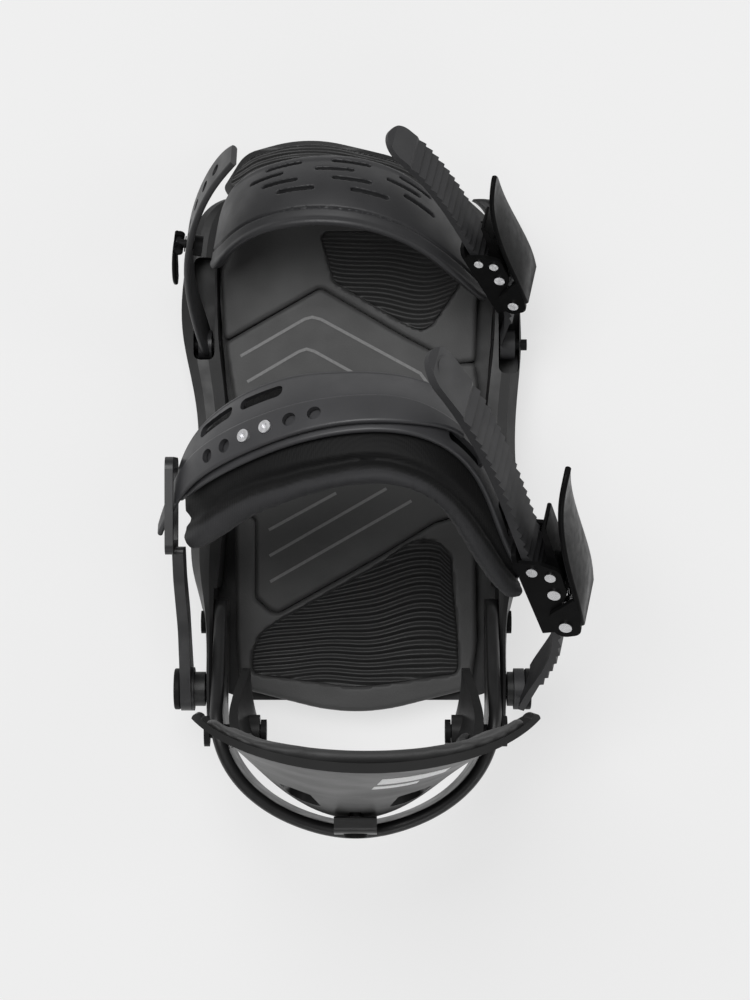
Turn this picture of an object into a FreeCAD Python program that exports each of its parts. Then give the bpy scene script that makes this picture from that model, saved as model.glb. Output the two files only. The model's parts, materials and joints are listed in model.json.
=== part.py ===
import FreeCAD
import Part
import math
import os

# Snowboard strap binding, built as separate pieces.
# Frame: millimetres, origin at the centre of the mounting disc on the board's top face,
# +Y towards the toe, +X towards the ladder (outer) side, +Z up.

# ---- driving dimensions -------------------------------------------------------------------
PAD_THICKNESS = 3.0          # foam between the chassis and the board
FLOOR_TOP = 10.0             # top of the chassis floor
FOOTBED_TOP = 18.0           # top of the footbed panels
INSERT_DEPTH = 2.5           # depth of the ribbed inserts in the footbed
DISC_RADIUS = 49.5           # toothed flange of the mounting disc
DISC_HUB_RADIUS = 44.0       # lower part of the disc, which bears on the board
DISC_TEETH = 72
HOLE_SPACING = 40.0          # square insert pattern in the board
HOLE_RADIUS = 3.3            # clearance for M6
SLOT_LENGTH = 16.0           # end to end

EAR_OUTER = 65.8             # half width over the chassis's rear ears
EAR_INNER = 62.4
CUP_THICKNESS = 5.6

STRAP_PIVOT = (-119.0, 45.0)     # Y, Z of the ankle strap pivots
CUP_FRONT_SCREW = (-90.0, 40.0)  # Y, Z of the heelcup's front screws
RAMP_SCREW_Y = 99.0
RAMP_SCREW_X = (-24.0, 24.0)
TOE_PIVOT = (33.0, 19.0)         # Y, Z of the toe strap pivots
HIGHBACK_PIVOT = (-135.0, 74.0)  # Y, Z of the highback pivots
BOLT_RADIUS = 3.0
BOLT_CLEARANCE = 0.15
GAP = 0.4                    # gap between neighbouring pieces

LEAN_SCREW_Z = 88.0              # height of the forward lean screw

HIGHBACK_TOP = 255.0
HIGHBACK_BOTTOM = 54.0
HIGHBACK_SHELL = 3.6
HIGHBACK_PAD = 4.4
HIGHBACK_CANT = 5.5          # sideways lean of the highback's top, towards +X

LADDER_WIDTH = 21.0
LADDER_BODY = 2.6            # strip thickness under the teeth
TOOTH_HEIGHT = 1.4
TOOTH_PITCH = 5.0

SIDES = (-1, 1)


# ---- small helpers ------------------------------------------------------------------------
def vec(point):
    return FreeCAD.Vector(*point)


def unit(vector):
    return vector / vector.Length


def rounded_wire(corners):
    """Closed wire in the XY plane from (x, y, radius) corners, each rounded by an arc."""
    starts, ends, middles, edges = [], [], [], []
    count = len(corners)
    for i, (x, y, radius) in enumerate(corners):
        here = vec((x, y, 0))
        before = unit(vec((*corners[i - 1][:2], 0)) - here)
        after = unit(vec((*corners[(i + 1) % count][:2], 0)) - here)
        half = before.getAngle(after) / 2
        reach = radius / math.tan(half)
        starts.append(here + before * reach)
        ends.append(here + after * reach)
        middles.append(here + unit(before + after) * (radius / math.sin(half) - radius))
    for i in range(count):
        following = (i + 1) % count
        if corners[i][2] > 0:
            edges.append(Part.Arc(starts[i], middles[i], ends[i]).toShape())
        if (starts[following] - ends[i]).Length > 1e-6:
            edges.append(Part.makeLine(ends[i], starts[following]))
    return Part.Wire(edges)


def prism(corners, low, high):
    """Rounded outline in XY, extruded from low to high."""
    solid = Part.Face(rounded_wire(corners)).extrude(vec((0, 0, high - low)))
    solid.translate(vec((0, 0, low)))
    return solid


def side_prism(corners, low, high):
    """Rounded outline given as (y, z, radius), extruded along X from low to high."""
    solid = prism(corners, low, high)
    solid.transformShape(FreeCAD.Matrix(0, 0, 1, 0, 1, 0, 0, 0, 0, 1, 0, 0, 0, 0, 0, 1))
    return solid


def front_prism(corners, low, high):
    """Rounded outline given as (x, z, radius), extruded along Y from low to high."""
    solid = prism([(z, x, radius) for x, z, radius in corners], low, high)
    solid.transformShape(FreeCAD.Matrix(0, 1, 0, 0, 0, 0, 1, 0, 1, 0, 0, 0, 0, 0, 0, 1))
    return solid


def box(x_range, y_range, z_range):
    low = vec((min(x_range), min(y_range), min(z_range)))
    high = vec((max(x_range), max(y_range), max(z_range)))
    size = high - low
    return Part.makeBox(size.x, size.y, size.z, low)


def rod(start, end, radius):
    """Cylinder from one point to another."""
    start, end = vec(start), vec(end)
    return Part.makeCylinder(radius, (end - start).Length, start, end - start)


def x_rod(x_range, pivot, radius):
    """Cylinder along X at a (y, z) pivot."""
    return rod((min(x_range), *pivot), (max(x_range), *pivot), radius)


def fuse(shapes):
    result = shapes[0]
    for shape in shapes[1:]:
        result = result.fuse(shape)
    return result.removeSplitter()


def cut(shape, tools):
    for tool in tools:
        shape = shape.cut(tool)
    return shape


def mirrored(shape):
    return shape.mirror(vec((0, 0, 0)), vec((1, 0, 0)))


def moved_to(shape, x, y, z, origin):
    """Move a shape so that its own axes lie along x, y and z, and its origin at origin."""
    shape.transformShape(FreeCAD.Matrix(x.x, y.x, z.x, origin.x, x.y, y.y, z.y, origin.y,
                                        x.z, y.z, z.z, origin.z, 0, 0, 0, 1))
    return shape


def softened(shape, radius, picks):
    """Fillet the edges that picks() accepts, or leave them sharp when they can't be rounded."""
    edges = [edge for edge in shape.Edges if picks(edge)]
    try:
        result = shape.makeFillet(radius, edges)
    except Exception:
        return shape
    return result if result.isValid() and result.Volume > 0 else shape


def at_height(height):
    """Picks edges that lie wholly at one height."""
    def level(edge):
        return max(abs(edge.BoundBox.ZMin - height), abs(edge.BoundBox.ZMax - height)) < 1e-4
    return level


def smooth(points):
    curve = Part.BSplineCurve()
    curve.interpolate([vec(point) for point in points])
    return curve


def loft(wires):
    return Part.makeLoft(wires, True, False)


def keep_solid(shape):
    """The biggest solid of a shape, without stray slivers."""
    return max(shape.Solids, key=lambda solid: solid.Volume)


# ---- curved straps ------------------------------------------------------------------------
class Wrap:
    """A strap surface spanned between a front and a rear guide curve, crowned between them.

    along runs from 0 at the first end to 1 at the last, across from 0 at the front guide to
    1 at the rear guide, and lift is measured outwards. The crown fades out at both ends.
    """

    def __init__(self, fronts, rears, crown=0.0):
        self.front = smooth(fronts)
        self.rear = smooth(rears)
        self.crown = crown

    def edge(self, curve, along):
        return curve.value(curve.FirstParameter + along * (curve.LastParameter - curve.FirstParameter))

    def span(self, along):
        return self.edge(self.rear, along) - self.edge(self.front, along)

    def middle(self, along):
        return self.edge(self.front, along) + self.span(along) / 2

    def normal(self, along):
        step = 0.01
        travel = self.middle(min(1, along + step)) - self.middle(max(0, along - step))
        return unit(self.span(along).cross(travel))

    def place(self, along, across, lift=0.0):
        share = min(1.0, along / 0.25, (1 - along) / 0.45)
        ease = share * share * (3 - 2 * share)
        bulge = 4 * self.crown * ease * across * (1 - across)
        on_chord = self.edge(self.front, along) + self.span(along) * across
        return on_chord + self.normal(along) * (bulge + lift)

    def section(self, along, across_range, lift_range):
        """Closed outline across the strap, flat in one plane, with round edges."""
        front, rear = across_range
        low, high = lift_range
        middle = (low + high) / 2
        inset = (high - low) / 2 / self.span(along).Length
        steps = [front + inset + (rear - front - 2 * inset) * i / 4 for i in range(5)]
        outer = [self.place(along, across, high) for across in steps]
        inner = [self.place(along, across, low) for across in reversed(steps)]
        return Part.Wire([smooth(outer).toShape(),
                          Part.Arc(outer[-1], self.place(along, rear, middle), inner[0]).toShape(),
                          smooth(inner).toShape(),
                          Part.Arc(inner[-1], self.place(along, front, middle), outer[0]).toShape()])

    def strip(self, along_range, across, lift, stations=9):
        """Solid strip; across(t) gives its (front, rear) limits at t from 0 to 1 of its length."""
        start, end = along_range
        wires = []
        for i in range(stations):
            t = i / (stations - 1)
            wires.append(self.section(start + (end - start) * t, across(t), lift))
        return loft(wires)

    def window(self, along, across, length, width, radius, depth=(-9.0, 7.0)):
        """Rounded rectangular cutter, square to the strip at one place on it."""
        corners = [(-length / 2, -width / 2, radius), (length / 2, -width / 2, radius),
                   (length / 2, width / 2, radius), (-length / 2, width / 2, radius)]
        cutter = prism(corners, *depth)
        centre = self.place(along, across)
        step = 0.02
        travel = unit(self.place(along + step, across) - self.place(along - step, across))
        rise = self.normal(along)
        rise = unit(rise - travel * rise.dot(travel))
        side = rise.cross(travel)
        return moved_to(cutter, travel, side, rise, centre)

    def hole(self, along, across, radius, lift_range):
        low, high = lift_range
        return rod(self.place(along, across, low), self.place(along, across, high), radius)


def tapered(front, rear, start_width, end_width, ease=0.25):
    """Across limits that narrow to a share of the full width at the ends of a strip."""
    def limits(t):
        share = 1.0
        if t < ease:
            share = start_width + (1 - start_width) * math.sin(math.pi / 2 * t / ease)
        if t > 1 - ease:
            share = min(share, end_width + (1 - end_width) * math.sin(math.pi / 2 * (1 - t) / ease))
        centre = (front + rear) / 2
        half = (rear - front) / 2 * share
        return centre - half, centre + half
    return limits


# ---- chassis ------------------------------------------------------------------------------
# rail stations from toe to heel: y, outer x, inner x, top z, for the left side
RAIL_STATIONS = ((99, 60.0, 52.0, 13.0), (88, 72.0, 60.0, 17.0), (70, 77.0, 61.5, 21.0),
                 (48, 79.0, 61.0, 24.5), (25, 76.0, 59.5, 26.5), (0, 71.5, 57.0, 28.0),
                 (-30, 72.0, 57.0, 33.0), (-62, 73.5, 59.0, 42.0), (-84, 68.0, 61.5, 50.0),
                 (-100, 65.8, 62.4, 55.0), (-119, 65.8, 62.4, 57.0), (-132, 65.8, 62.4, 52.0))
RIGHT_RAIL_LIMIT = 73.6      # the outer side's rail bulges less at the toe
TOE_SLOT = {-1: (26.0, 72.0), 1: (20.0, 62.0)}      # Y span of the toe strap slots in the rails
SLOT_X = (63.2, 72.6)


def rail(side):
    """Sculpted side rail with a ridge near its inner edge, lofted from toe to heel."""
    wires = []
    for y, outer, inner, top in RAIL_STATIONS:
        if side > 0:
            outer = min(outer, RIGHT_RAIL_LIMIT)
        low = PAD_THICKNESS
        width = outer - inner
        points = [(outer - 0.14 * width, low), (outer, low + 0.25 * (top - low)),
                  (outer - 0.04 * width, top - 0.22 * (top - low)), (outer - 0.32 * width, top - 0.4),
                  (outer - 0.62 * width, top), (inner + 0.06 * width, top - 1.0), (inner, low)]
        corners = [vec((side * x, y, z)) for x, z in points]
        wires.append(Part.makePolygon(corners + corners[:1]))
    return loft(wires)


def floor_outline():
    half = [(44, 104.5, 8), (60, 90, 12), (62, 60, 20), (58, 5, 40), (58, -30, 40), (62.6, -80, 20),
            (62.6, -122, 8), (40, -129, 10)]
    left = [(-x, y, radius) for x, y, radius in reversed(half)]
    return half + left


def baseplate():
    floor = prism(floor_outline(), PAD_THICKNESS, FLOOR_TOP)
    body = fuse([floor, rail(-1), rail(1)])
    pocket = Part.makeCylinder(DISC_RADIUS + GAP, 10, vec((0, 0, 6)))
    through = Part.makeCylinder(DISC_HUB_RADIUS + GAP, 20, vec((0, 0, -5)))
    tools = [pocket, through]
    for side in SIDES:
        low, high = TOE_SLOT[side]
        tools.append(prism([(side * SLOT_X[0], low, 3), (side * SLOT_X[0], high, 3),
                            (side * SLOT_X[1], high, 3), (side * SLOT_X[1], low, 3)], 8.0, 60.0))
        tools.append(x_rod((side * 50, side * 90), TOE_PIVOT, 2.6))
        tools.append(x_rod((side * 60, side * 70), STRAP_PIVOT, BOLT_RADIUS + BOLT_CLEARANCE))
        tools.append(x_rod((side * 60, side * 70), CUP_FRONT_SCREW, 2.5 + BOLT_CLEARANCE))
        # long relief in the rail's outer flank
        flank = side_prism([(-52, 12, 4), (-8, 10, 4), (-8, 20, 4), (-52, 28, 6)], 70.0, 80.0)
        tools.append(flank if side > 0 else mirrored(flank))
    for x in RAMP_SCREW_X:
        # weight-saving windows in the heel floor and threaded holes for the toe ramp
        tools.append(prism([(x - 14, -112, 5), (x + 14, -112, 5),
                            (x + 14, -76, 5), (x - 14, -76, 5)], 0, 20))
        tools.append(rod((x, RAMP_SCREW_Y, 0), (x, RAMP_SCREW_Y, 20), 2.5 + BOLT_CLEARANCE))
    for side in SIDES:
        tools.append(box((side * 55.5, side * (EAR_INNER - 0.1)), (-150, -75), (FLOOR_TOP + 0.1, 100)))
        tools.append(x_rod((side * (EAR_OUTER + 0.05), side * 80), CUP_FRONT_SCREW, 6.0))
    tools.append(side_prism([(-150, -5, 1), (-122, -5, 1), (-126, 8, 12), (-136, 46, 1), (-150, 46, 1)],
                            -90, 90))
    return keep_solid(cut(body, tools))


def underpad(corners):
    """Foam pad under the chassis, flush with the board."""
    return prism(corners, 0.0, PAD_THICKNESS - 0.05)


def underpad_toe():
    pad = underpad([(-58, 56, 6), (-44, 90, 14), (44, 90, 14), (58, 56, 6), (44, 40, 6), (-44, 40, 6)])
    return keep_solid(pad.cut(Part.makeCylinder(DISC_HUB_RADIUS + 3, 10)))


def underpad_heel():
    pad = underpad([(-58, -50, 6), (-60, -118, 10), (-38, -126, 8), (38, -126, 8), (60, -118, 10),
                    (58, -50, 6), (36, -36, 6), (-36, -36, 6)])
    return keep_solid(pad.cut(Part.makeCylinder(DISC_HUB_RADIUS + 3, 10)))


def mounting_disc():
    """Disc whose hub bears on the board and whose toothed flange holds the chassis down."""
    rim = []
    for i in range(DISC_TEETH * 2):
        angle = math.pi * i / DISC_TEETH
        radius = DISC_RADIUS if i % 2 == 0 else DISC_RADIUS - 1.2
        rim.append(vec((radius * math.cos(angle), radius * math.sin(angle), 6.3)))
    flange = Part.Face(Part.makePolygon(rim + rim[:1])).extrude(vec((0, 0, 3.4)))
    hub = Part.makeCylinder(DISC_HUB_RADIUS, 7.0)
    body = fuse([flange, hub])
    reach = SLOT_LENGTH / 2
    tools = []
    for x in (-HOLE_SPACING / 2, HOLE_SPACING / 2):
        for y in (-HOLE_SPACING / 2, HOLE_SPACING / 2):
            r = HOLE_RADIUS
            tools.append(prism([(x - reach, y - r, r - 0.001), (x + reach, y - r, r - 0.001),
                                (x + reach, y + r, r - 0.001), (x - reach, y + r, r - 0.001)], -1, 12))
    # wedge pockets between ribs, open at the top
    for i in range(4):
        pocket = prism([(31, -9, 3), (39, -12, 3), (39, 12, 3), (31, 9, 3)], 4.5, 12)
        pocket.rotate(vec((0, 0, 0)), vec((0, 0, 1)), 90 * i)
        tools.append(pocket)
    tools.append(Part.makeCylinder(8, 10, vec((0, 0, 5.5))))
    return keep_solid(cut(body, tools))


# ---- footbed ------------------------------------------------------------------------------
SEAM = ((-59.6, 34.5), (-16.2, 59.0), (19.4, 38.2), (33.7, 30.6), (45.0, 25.0), (53.2, 25.6))
COVER_REAR = ((34.6, -46.6), (10.4, -61.4), (-34.8, -86.8), (-38.4, -86.2), (-45.2, -80.2), (-45.2, -43.8))


def footbed_panel(corners):
    panel = prism(corners, FLOOR_TOP + 0.05, FOOTBED_TOP)
    return softened(panel, 1.2, at_height(FOOTBED_TOP))


def toe_insert_outline(inset=0.0):
    return [(-17 + inset, 84 - inset, 3), (-10.6 + inset, 61 + inset, 4), (-3, 56.5 + inset, 4),
            (23.4, 41 + inset, 4), (29.4, 39 + inset, 5), (34.2, 42 + inset, 6),
            (46.0 - inset, 59 + inset, 8), (47.5 - inset, 72, 6), (42 - inset, 84 - inset, 4)]


def heel_insert_outline(inset=0.0):
    return [(-47.6 + inset, -114.5 + inset, 4), (-47 + inset, -104, 6), (-43.6 + inset, -96.5, 5),
            (-36.5, -91 - inset, 6), (10.4, -64.8 - inset, 8), (22.8, -55.8 - inset, 8),
            (30, -53.8 - inset, 6), (37.7, -55.6 - inset, 5), (42.8 - inset, -62, 6),
            (43.6 - inset, -76, 10), (45.5 - inset, -97, 10), (46.0 - inset, -114.5 + inset, 4),
            (0, -121 + inset, 60)]


def footbed_toe():
    panel = footbed_panel([(*SEAM[0], 2), (*SEAM[1], 3), (*SEAM[2], 6), (*SEAM[3], 4), (*SEAM[4], 4),
                           (*SEAM[5], 2), (54.2, 60, 20), (46, 87.6, 8), (-50, 87.6, 8), (-61, 66, 14)])
    recess = prism(toe_insert_outline(), FOOTBED_TOP - INSERT_DEPTH, FOOTBED_TOP + 5)
    return keep_solid(panel.cut(recess))


def disc_cover():
    """Snap-in centre panel that gives access to the disc's screws."""
    top = [(SEAM[5][0], SEAM[5][1] - GAP, 2), (SEAM[4][0], SEAM[4][1] - GAP, 4),
           (SEAM[3][0], SEAM[3][1] - GAP, 4), (SEAM[2][0], SEAM[2][1] - GAP, 6),
           (SEAM[1][0], SEAM[1][1] - GAP, 3), (SEAM[0][0] + 0.6, SEAM[0][1] - GAP, 2)]
    left = [(-54.6, 6, 20), (-54.6, -42.6, 2)]
    rear = [(x, y, 3) for x, y in reversed(COVER_REAR)]
    right = [(52.8, -41.0, 2), (54.4, 15, 20)]
    return footbed_panel(top + left + rear + right)


def footbed_heel():
    shift = GAP
    rear = [(x, y - shift, 3) for x, y in COVER_REAR]
    corners = [(53.0, -41.6, 2)] + rear + [(-54.6, -43.4, 2), (-54.0, -100, 20), (-51.9, -121, 5),
                                           (0, -134, 90), (51.0, -121, 5), (54.0, -100, 20)]
    panel = footbed_panel(corners)
    recess = prism(heel_insert_outline(), FOOTBED_TOP - INSERT_DEPTH, FOOTBED_TOP + 5)
    return keep_solid(panel.cut(recess))


def grip_insert(outline):
    insert = prism(outline(0.5), FOOTBED_TOP - INSERT_DEPTH + 0.05, FOOTBED_TOP + 0.3)
    return softened(insert, 0.6, at_height(FOOTBED_TOP + 0.3))


def ramp_outline(inset=0.0):
    return [(-50.8 + inset, 88.4, 2), (-50.8 + inset, 100.2 + inset, 0.5),
            (-61.5 + inset, 100.2 + inset, 3), (-50 + inset, 118 - inset, 14),
            (-22, 126 - inset, 60), (18, 116.5 - inset, 40), (41 - inset, 103 - inset, 14),
            (50 - inset, 88.4, 2)]


def toe_ramp():
    """Sliding ramp under the toe of the boot, longer on the inner side."""
    body = prism(ramp_outline(), 3.0, 40.0)
    profile = side_prism([(88.4, 10.1, 0), (88.4, 17.6, 1), (108, 19.5, 30), (120, 22.5, 3), (127, 20.5, 2),
                          (127, 8, 3), (118, 3.2, 5), (105.4, 3.2, 1), (105.4, 10.1, 0.5)], -80.0, 80.0)
    body = body.common(profile)
    hollow = prism([(-40, 92, 4), (-40, 108, 6), (-22, 112, 20), (16, 106, 20), (30, 98, 6), (30, 92, 4)],
                   19.0, 40.0)
    tools = [hollow]
    for x in RAMP_SCREW_X:
        tools.append(box((x - 2.9, x + 2.9), (80, RAMP_SCREW_Y + 2.9), (0, 30)))
        tools.append(box((x - 5.6, x + 5.6), (80, RAMP_SCREW_Y + 5.6), (13.6, 30)))
    return keep_solid(cut(body, tools))


def toe_ramp_pad():
    """Grip strip with three ridges along the ramp's front rim."""
    outer = prism(ramp_outline(2.0), 0.0, 60.0)
    inner = prism([(-53, 98, 2), (-45, 108, 14), (-22, 116, 60), (16, 107, 40), (34, 96, 10),
                   (46, 60, 2), (-53, 60, 2)], 0.0, 60.0)
    crest = side_prism([(96, 22.8, 0), (120, 23.0, 2), (127, 21.0, 2), (127, 24.0, 1),
                        (118, 25.5, 3), (96, 24.0, 0)], -80.0, 80.0)
    return keep_solid(outer.cut(inner).common(crest))


def ramp_screws():
    """Screws that clamp the ramp through its forked slots."""
    screws = []
    for x in RAMP_SCREW_X:
        shaft = rod((x, RAMP_SCREW_Y, 3.5), (x, RAMP_SCREW_Y, 14), 2.5)
        head = rod((x, RAMP_SCREW_Y, 13.7), (x, RAMP_SCREW_Y, 16.5), 5.0)
        drive = prism([(x - 1.9, RAMP_SCREW_Y - 1.9, 0.3), (x + 1.9, RAMP_SCREW_Y - 1.9, 0.3),
                       (x + 1.9, RAMP_SCREW_Y + 1.9, 0.3), (x - 1.9, RAMP_SCREW_Y + 1.9, 0.3)], 15.0, 18)
        screws.append(fuse([shaft, head]).cut(drive))
    return Part.makeCompound(screws)


# ---- heelcup ------------------------------------------------------------------------------
# half of the heelcup's centreline from its front end to the rear: x, y, bottom z, top z
CUP_STATIONS = ((59.2, -80, 30, 48), (59.2, -98, 28, 60), (59.2, -118, 30, 74), (58.6, -134, 36, 84),
                (54.0, -148, 43, 83), (41.0, -163.5, 50, 80), (20.0, -174.5, 53, 78), (0.0, -178.0, 54, 77))


def heelcup():
    """Loop around the boot's heel, open under its rear band."""
    stations = [(side * x, y, low, high) for side, x, y, low, high in
                [(-1, *station) for station in CUP_STATIONS] +
                [(1, *station) for station in reversed(CUP_STATIONS[:-1])]]
    lower = [(x, y, low) for x, y, low, high in stations]
    upper = [(x, y, high) for x, y, low, high in stations]
    wrap = Wrap(upper, lower)
    half = CUP_THICKNESS / 2
    body = wrap.strip((0.0, 1.0), tapered(0.0, 1.0, 0.5, 0.5, 0.04), (-half, half), stations=25)
    tools = []
    for side in SIDES:
        tools.append(x_rod((side * 50, side * 70), STRAP_PIVOT, BOLT_RADIUS + BOLT_CLEARANCE))
        tools.append(x_rod((side * 50, side * 59.2), STRAP_PIVOT, 6.2))
        tools.append(x_rod((side * 50, side * 70), HIGHBACK_PIVOT, BOLT_RADIUS + BOLT_CLEARANCE))
        tools.append(x_rod((side * 50, side * 70), CUP_FRONT_SCREW, 2.5 + BOLT_CLEARANCE))
        tools.append(x_rod((side * 50, side * 58.6), CUP_FRONT_SCREW, 5.4))
    return keep_solid(cut(body, tools))


def cup_screws():
    """Front screws that hold the heelcup to the chassis's ears."""
    screws = []
    for side in SIDES:
        head = x_rod((side * 65.9, side * 68.0), CUP_FRONT_SCREW, 5.0)
        shaft = x_rod((side * 57.5, side * 66.2), CUP_FRONT_SCREW, 2.5)
        socket = x_rod((side * 66.9, side * 70.0), CUP_FRONT_SCREW, 2.0)
        screws.append(fuse([head, shaft]).cut(socket))
    return Part.makeCompound(screws)


def cup_nuts():
    nuts = []
    for side in SIDES:
        nut = x_rod((side * 56.4, side * 58.5), CUP_FRONT_SCREW, 5.0)
        nuts.append(nut.cut(x_rod((side * 50, side * 60), CUP_FRONT_SCREW, 2.5 + BOLT_CLEARANCE)))
    return Part.makeCompound(nuts)


# ---- highback -----------------------------------------------------------------------------
def highback_shape(height):
    """Half width, rear y, depth, roundness and sideways shift of the highback at one height."""
    rise = (height - HIGHBACK_PIVOT[1]) / (HIGHBACK_TOP - HIGHBACK_PIVOT[1])
    rise_above = max(0.0, rise)
    half = 50.6 + 13.4 * rise_above ** 0.7
    rear = -172.5 + 38.1 * rise_above
    depth = 62.0 - 43.0 * rise_above ** 0.75 if rise > 0 else 62.0
    roundness = 1.0 - 0.72 * min(1.0, rise_above * 1.15)
    shift = HIGHBACK_CANT * rise_above ** 1.5
    return half, rear, depth, roundness, shift


def highback_point(height, u, inset):
    half, rear, depth, roundness, shift = highback_shape(height)
    side = (1 - roundness) * u + roundness * math.sin(math.pi / 2 * u)
    sweep = (1 - roundness) * u * u + roundness * (1 - math.cos(math.pi / 2 * u))
    return vec((shift + (half - inset) * side, rear + inset + (depth - inset) * sweep, height))


def highback_sheet(low_inset, high_inset, reach=1.0):
    """Curved sheet between two insets, with round front edges, as a loft of level sections."""
    wires = []
    for i in range(10):
        height = HIGHBACK_BOTTOM - 6 + (HIGHBACK_TOP + 12 - HIGHBACK_BOTTOM) * i / 9
        steps = [reach * (j / 6 - 1) for j in range(13)]
        outer = [highback_point(height, u, low_inset) for u in steps]
        inner = [highback_point(height, u, high_inset) for u in reversed(steps)]
        bulge = vec((0, (high_inset - low_inset) / 2, 0))
        right = Part.Arc(outer[-1], (outer[-1] + inner[0]) / 2 + bulge, inner[0]).toShape()
        left = Part.Arc(inner[-1], (inner[-1] + outer[0]) / 2 + bulge, outer[0]).toShape()
        wires.append(Part.Wire([smooth(outer).toShape(), right, smooth(inner).toShape(), left]))
    return loft(wires)


def highback_outline(inset=0.0, bottom=HIGHBACK_BOTTOM):
    """Front view outline with a domed top, lopsided towards +X."""
    top = HIGHBACK_TOP - inset
    wide = 80.0 - inset
    return [(-36, top + 1, 45), (-58 + inset, top - 10, 26), (-74 + inset, top - 46, 30),
            (-wide, bottom + inset, 5), (wide, bottom + inset, 5),
            (84 - inset, top - 46, 30), (68 - inset, top - 10, 26), (46, top + 1, 45)]


def highback_side_trim():
    """Side view cutter that removes the wings in front of the lower and middle flanks."""
    return side_prism([(-108, 40, 2), (-110, 62, 8), (-121, 90, 30), (-134, 135, 60), (-128, 190, 60),
                       (-100, 270, 2), (20, 270, 2), (20, 40, 2)], -100.0, 100.0)


def highback():
    body = highback_sheet(0.0, HIGHBACK_SHELL)
    body = body.common(front_prism(highback_outline(), -220.0, 0.0))
    body = body.cut(highback_side_trim())
    bosses = [x_rod((side * 40.8, side * 52.8), HIGHBACK_PIVOT, 7.0) for side in SIDES]
    body = fuse([body] + bosses)
    # the rear of the lower edge is raised so that it swings clear of the heelcup
    tools = [side_prism([(-200, 40, 1), (-143, 40, 1), (-150, 66, 8), (-200, 67, 1)], -60.0, 60.0)]
    for side in SIDES:
        tools.append(x_rod((side * 40, side * 60), HIGHBACK_PIVOT, BOLT_RADIUS + BOLT_CLEARANCE))
        # two long windows low in the shell, either side of the spine
        tools.append(front_prism([(side * 14, 112, 4), (side * 26, 104, 5), (side * 31, 150, 6),
                                  (side * 18, 158, 5)], -220.0, -150.0))
    lean_slot = [(-2.6, 82, 2.4), (2.6, 82, 2.4), (2.6, 106, 2.4), (-2.6, 106, 2.4)]
    tools.append(front_prism(lean_slot, -220.0, -150.0))
    return keep_solid(cut(body, tools))


def highback_pad():
    body = highback_sheet(HIGHBACK_SHELL + GAP, HIGHBACK_SHELL + HIGHBACK_PAD, reach=0.97)
    body = body.common(front_prism(highback_outline(1.5, bottom=112.0), -220.0, 0.0))
    trim = highback_side_trim()
    trim.translate(vec((0, -2.5, 0)))
    return keep_solid(body.cut(trim))


def highback_pivots():
    bolts = []
    for side in SIDES:
        head = x_rod((side * 62.2, side * 64.5), HIGHBACK_PIVOT, 6.5)
        shaft = x_rod((side * 39.0, side * 62.4), HIGHBACK_PIVOT, BOLT_RADIUS)
        foot = x_rod((side * 38.0, side * 40.4), HIGHBACK_PIVOT, 5.0)
        socket = x_rod((side * 63.0, side * 66.0), HIGHBACK_PIVOT, 2.4)
        bolts.append(fuse([head, shaft, foot]).cut(socket))
    return Part.makeCompound(bolts)


def lean_block():
    """Sliding stop behind the highback that rests on the heelcup and sets the forward lean."""
    block = side_prism([(-178.6, 78.6, 1), (-175.4, 99, 4), (-168, 101, 1), (-172, 78.6, 1)], -9.0, 9.0)
    block = block.cut(highback_sheet(-0.5, 9.0))
    shaft = rod((0, -190, LEAN_SCREW_Z), (0, -150, LEAN_SCREW_Z), 2.2)
    recess = rod((0, -190, LEAN_SCREW_Z), (0, -175.2, LEAN_SCREW_Z), 5.4)
    return keep_solid(cut(block, [shaft, recess]))


def lean_screw():
    """Screw and inner clamp plate of the lean stop."""
    head = rod((0, -178.2, LEAN_SCREW_Z), (0, -175.3, LEAN_SCREW_Z), 5.0)
    shaft = rod((0, -175.5, LEAN_SCREW_Z), (0, -161.0, LEAN_SCREW_Z), 2.0)
    clamp = rod((0, -164.0, LEAN_SCREW_Z), (0, -161.4, LEAN_SCREW_Z), 5.0)
    drive = rod((0, -180, LEAN_SCREW_Z), (0, -176.8, LEAN_SCREW_Z), 2.0)
    return fuse([head, shaft, clamp]).cut(drive)


# ---- ladders and ratchet buckles ----------------------------------------------------------
class Bench:
    """A local frame: x along the ladder towards its tip, y across it, z outwards."""

    def __init__(self, origin, along, width, scale=1.0):
        self.x = unit(vec(along))
        self.y = unit(vec(width) - self.x * self.x.dot(vec(width)))
        self.z = self.x.cross(self.y)
        self.origin = vec(origin)
        self.scale = scale

    def point(self, x, y, z):
        return self.origin + self.x * x + self.y * y + self.z * z

    def place(self, shape, scaled=True):
        """Move a shape from local coordinates into the binding's frame."""
        shape = shape.copy()
        if scaled:
            shape.scale(self.scale)
        return moved_to(shape, self.x, self.y, self.z, self.origin)


ANKLE_BENCH = Bench((72.8, -65.7, 105.2), (-0.33, 0.71, 0.62), (-0.2, -0.70, 0.69))
TOE_BENCH = Bench((54.5, 66, 57), (-0.45, 0.62, 0.64), (-0.17, -0.80, 0.57), scale=0.84)


def profile_y(corners, low, high):
    """Rounded outline given as (x, z, radius) in a bench's frame, extruded along y."""
    return front_prism(corners, low, high)


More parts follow.
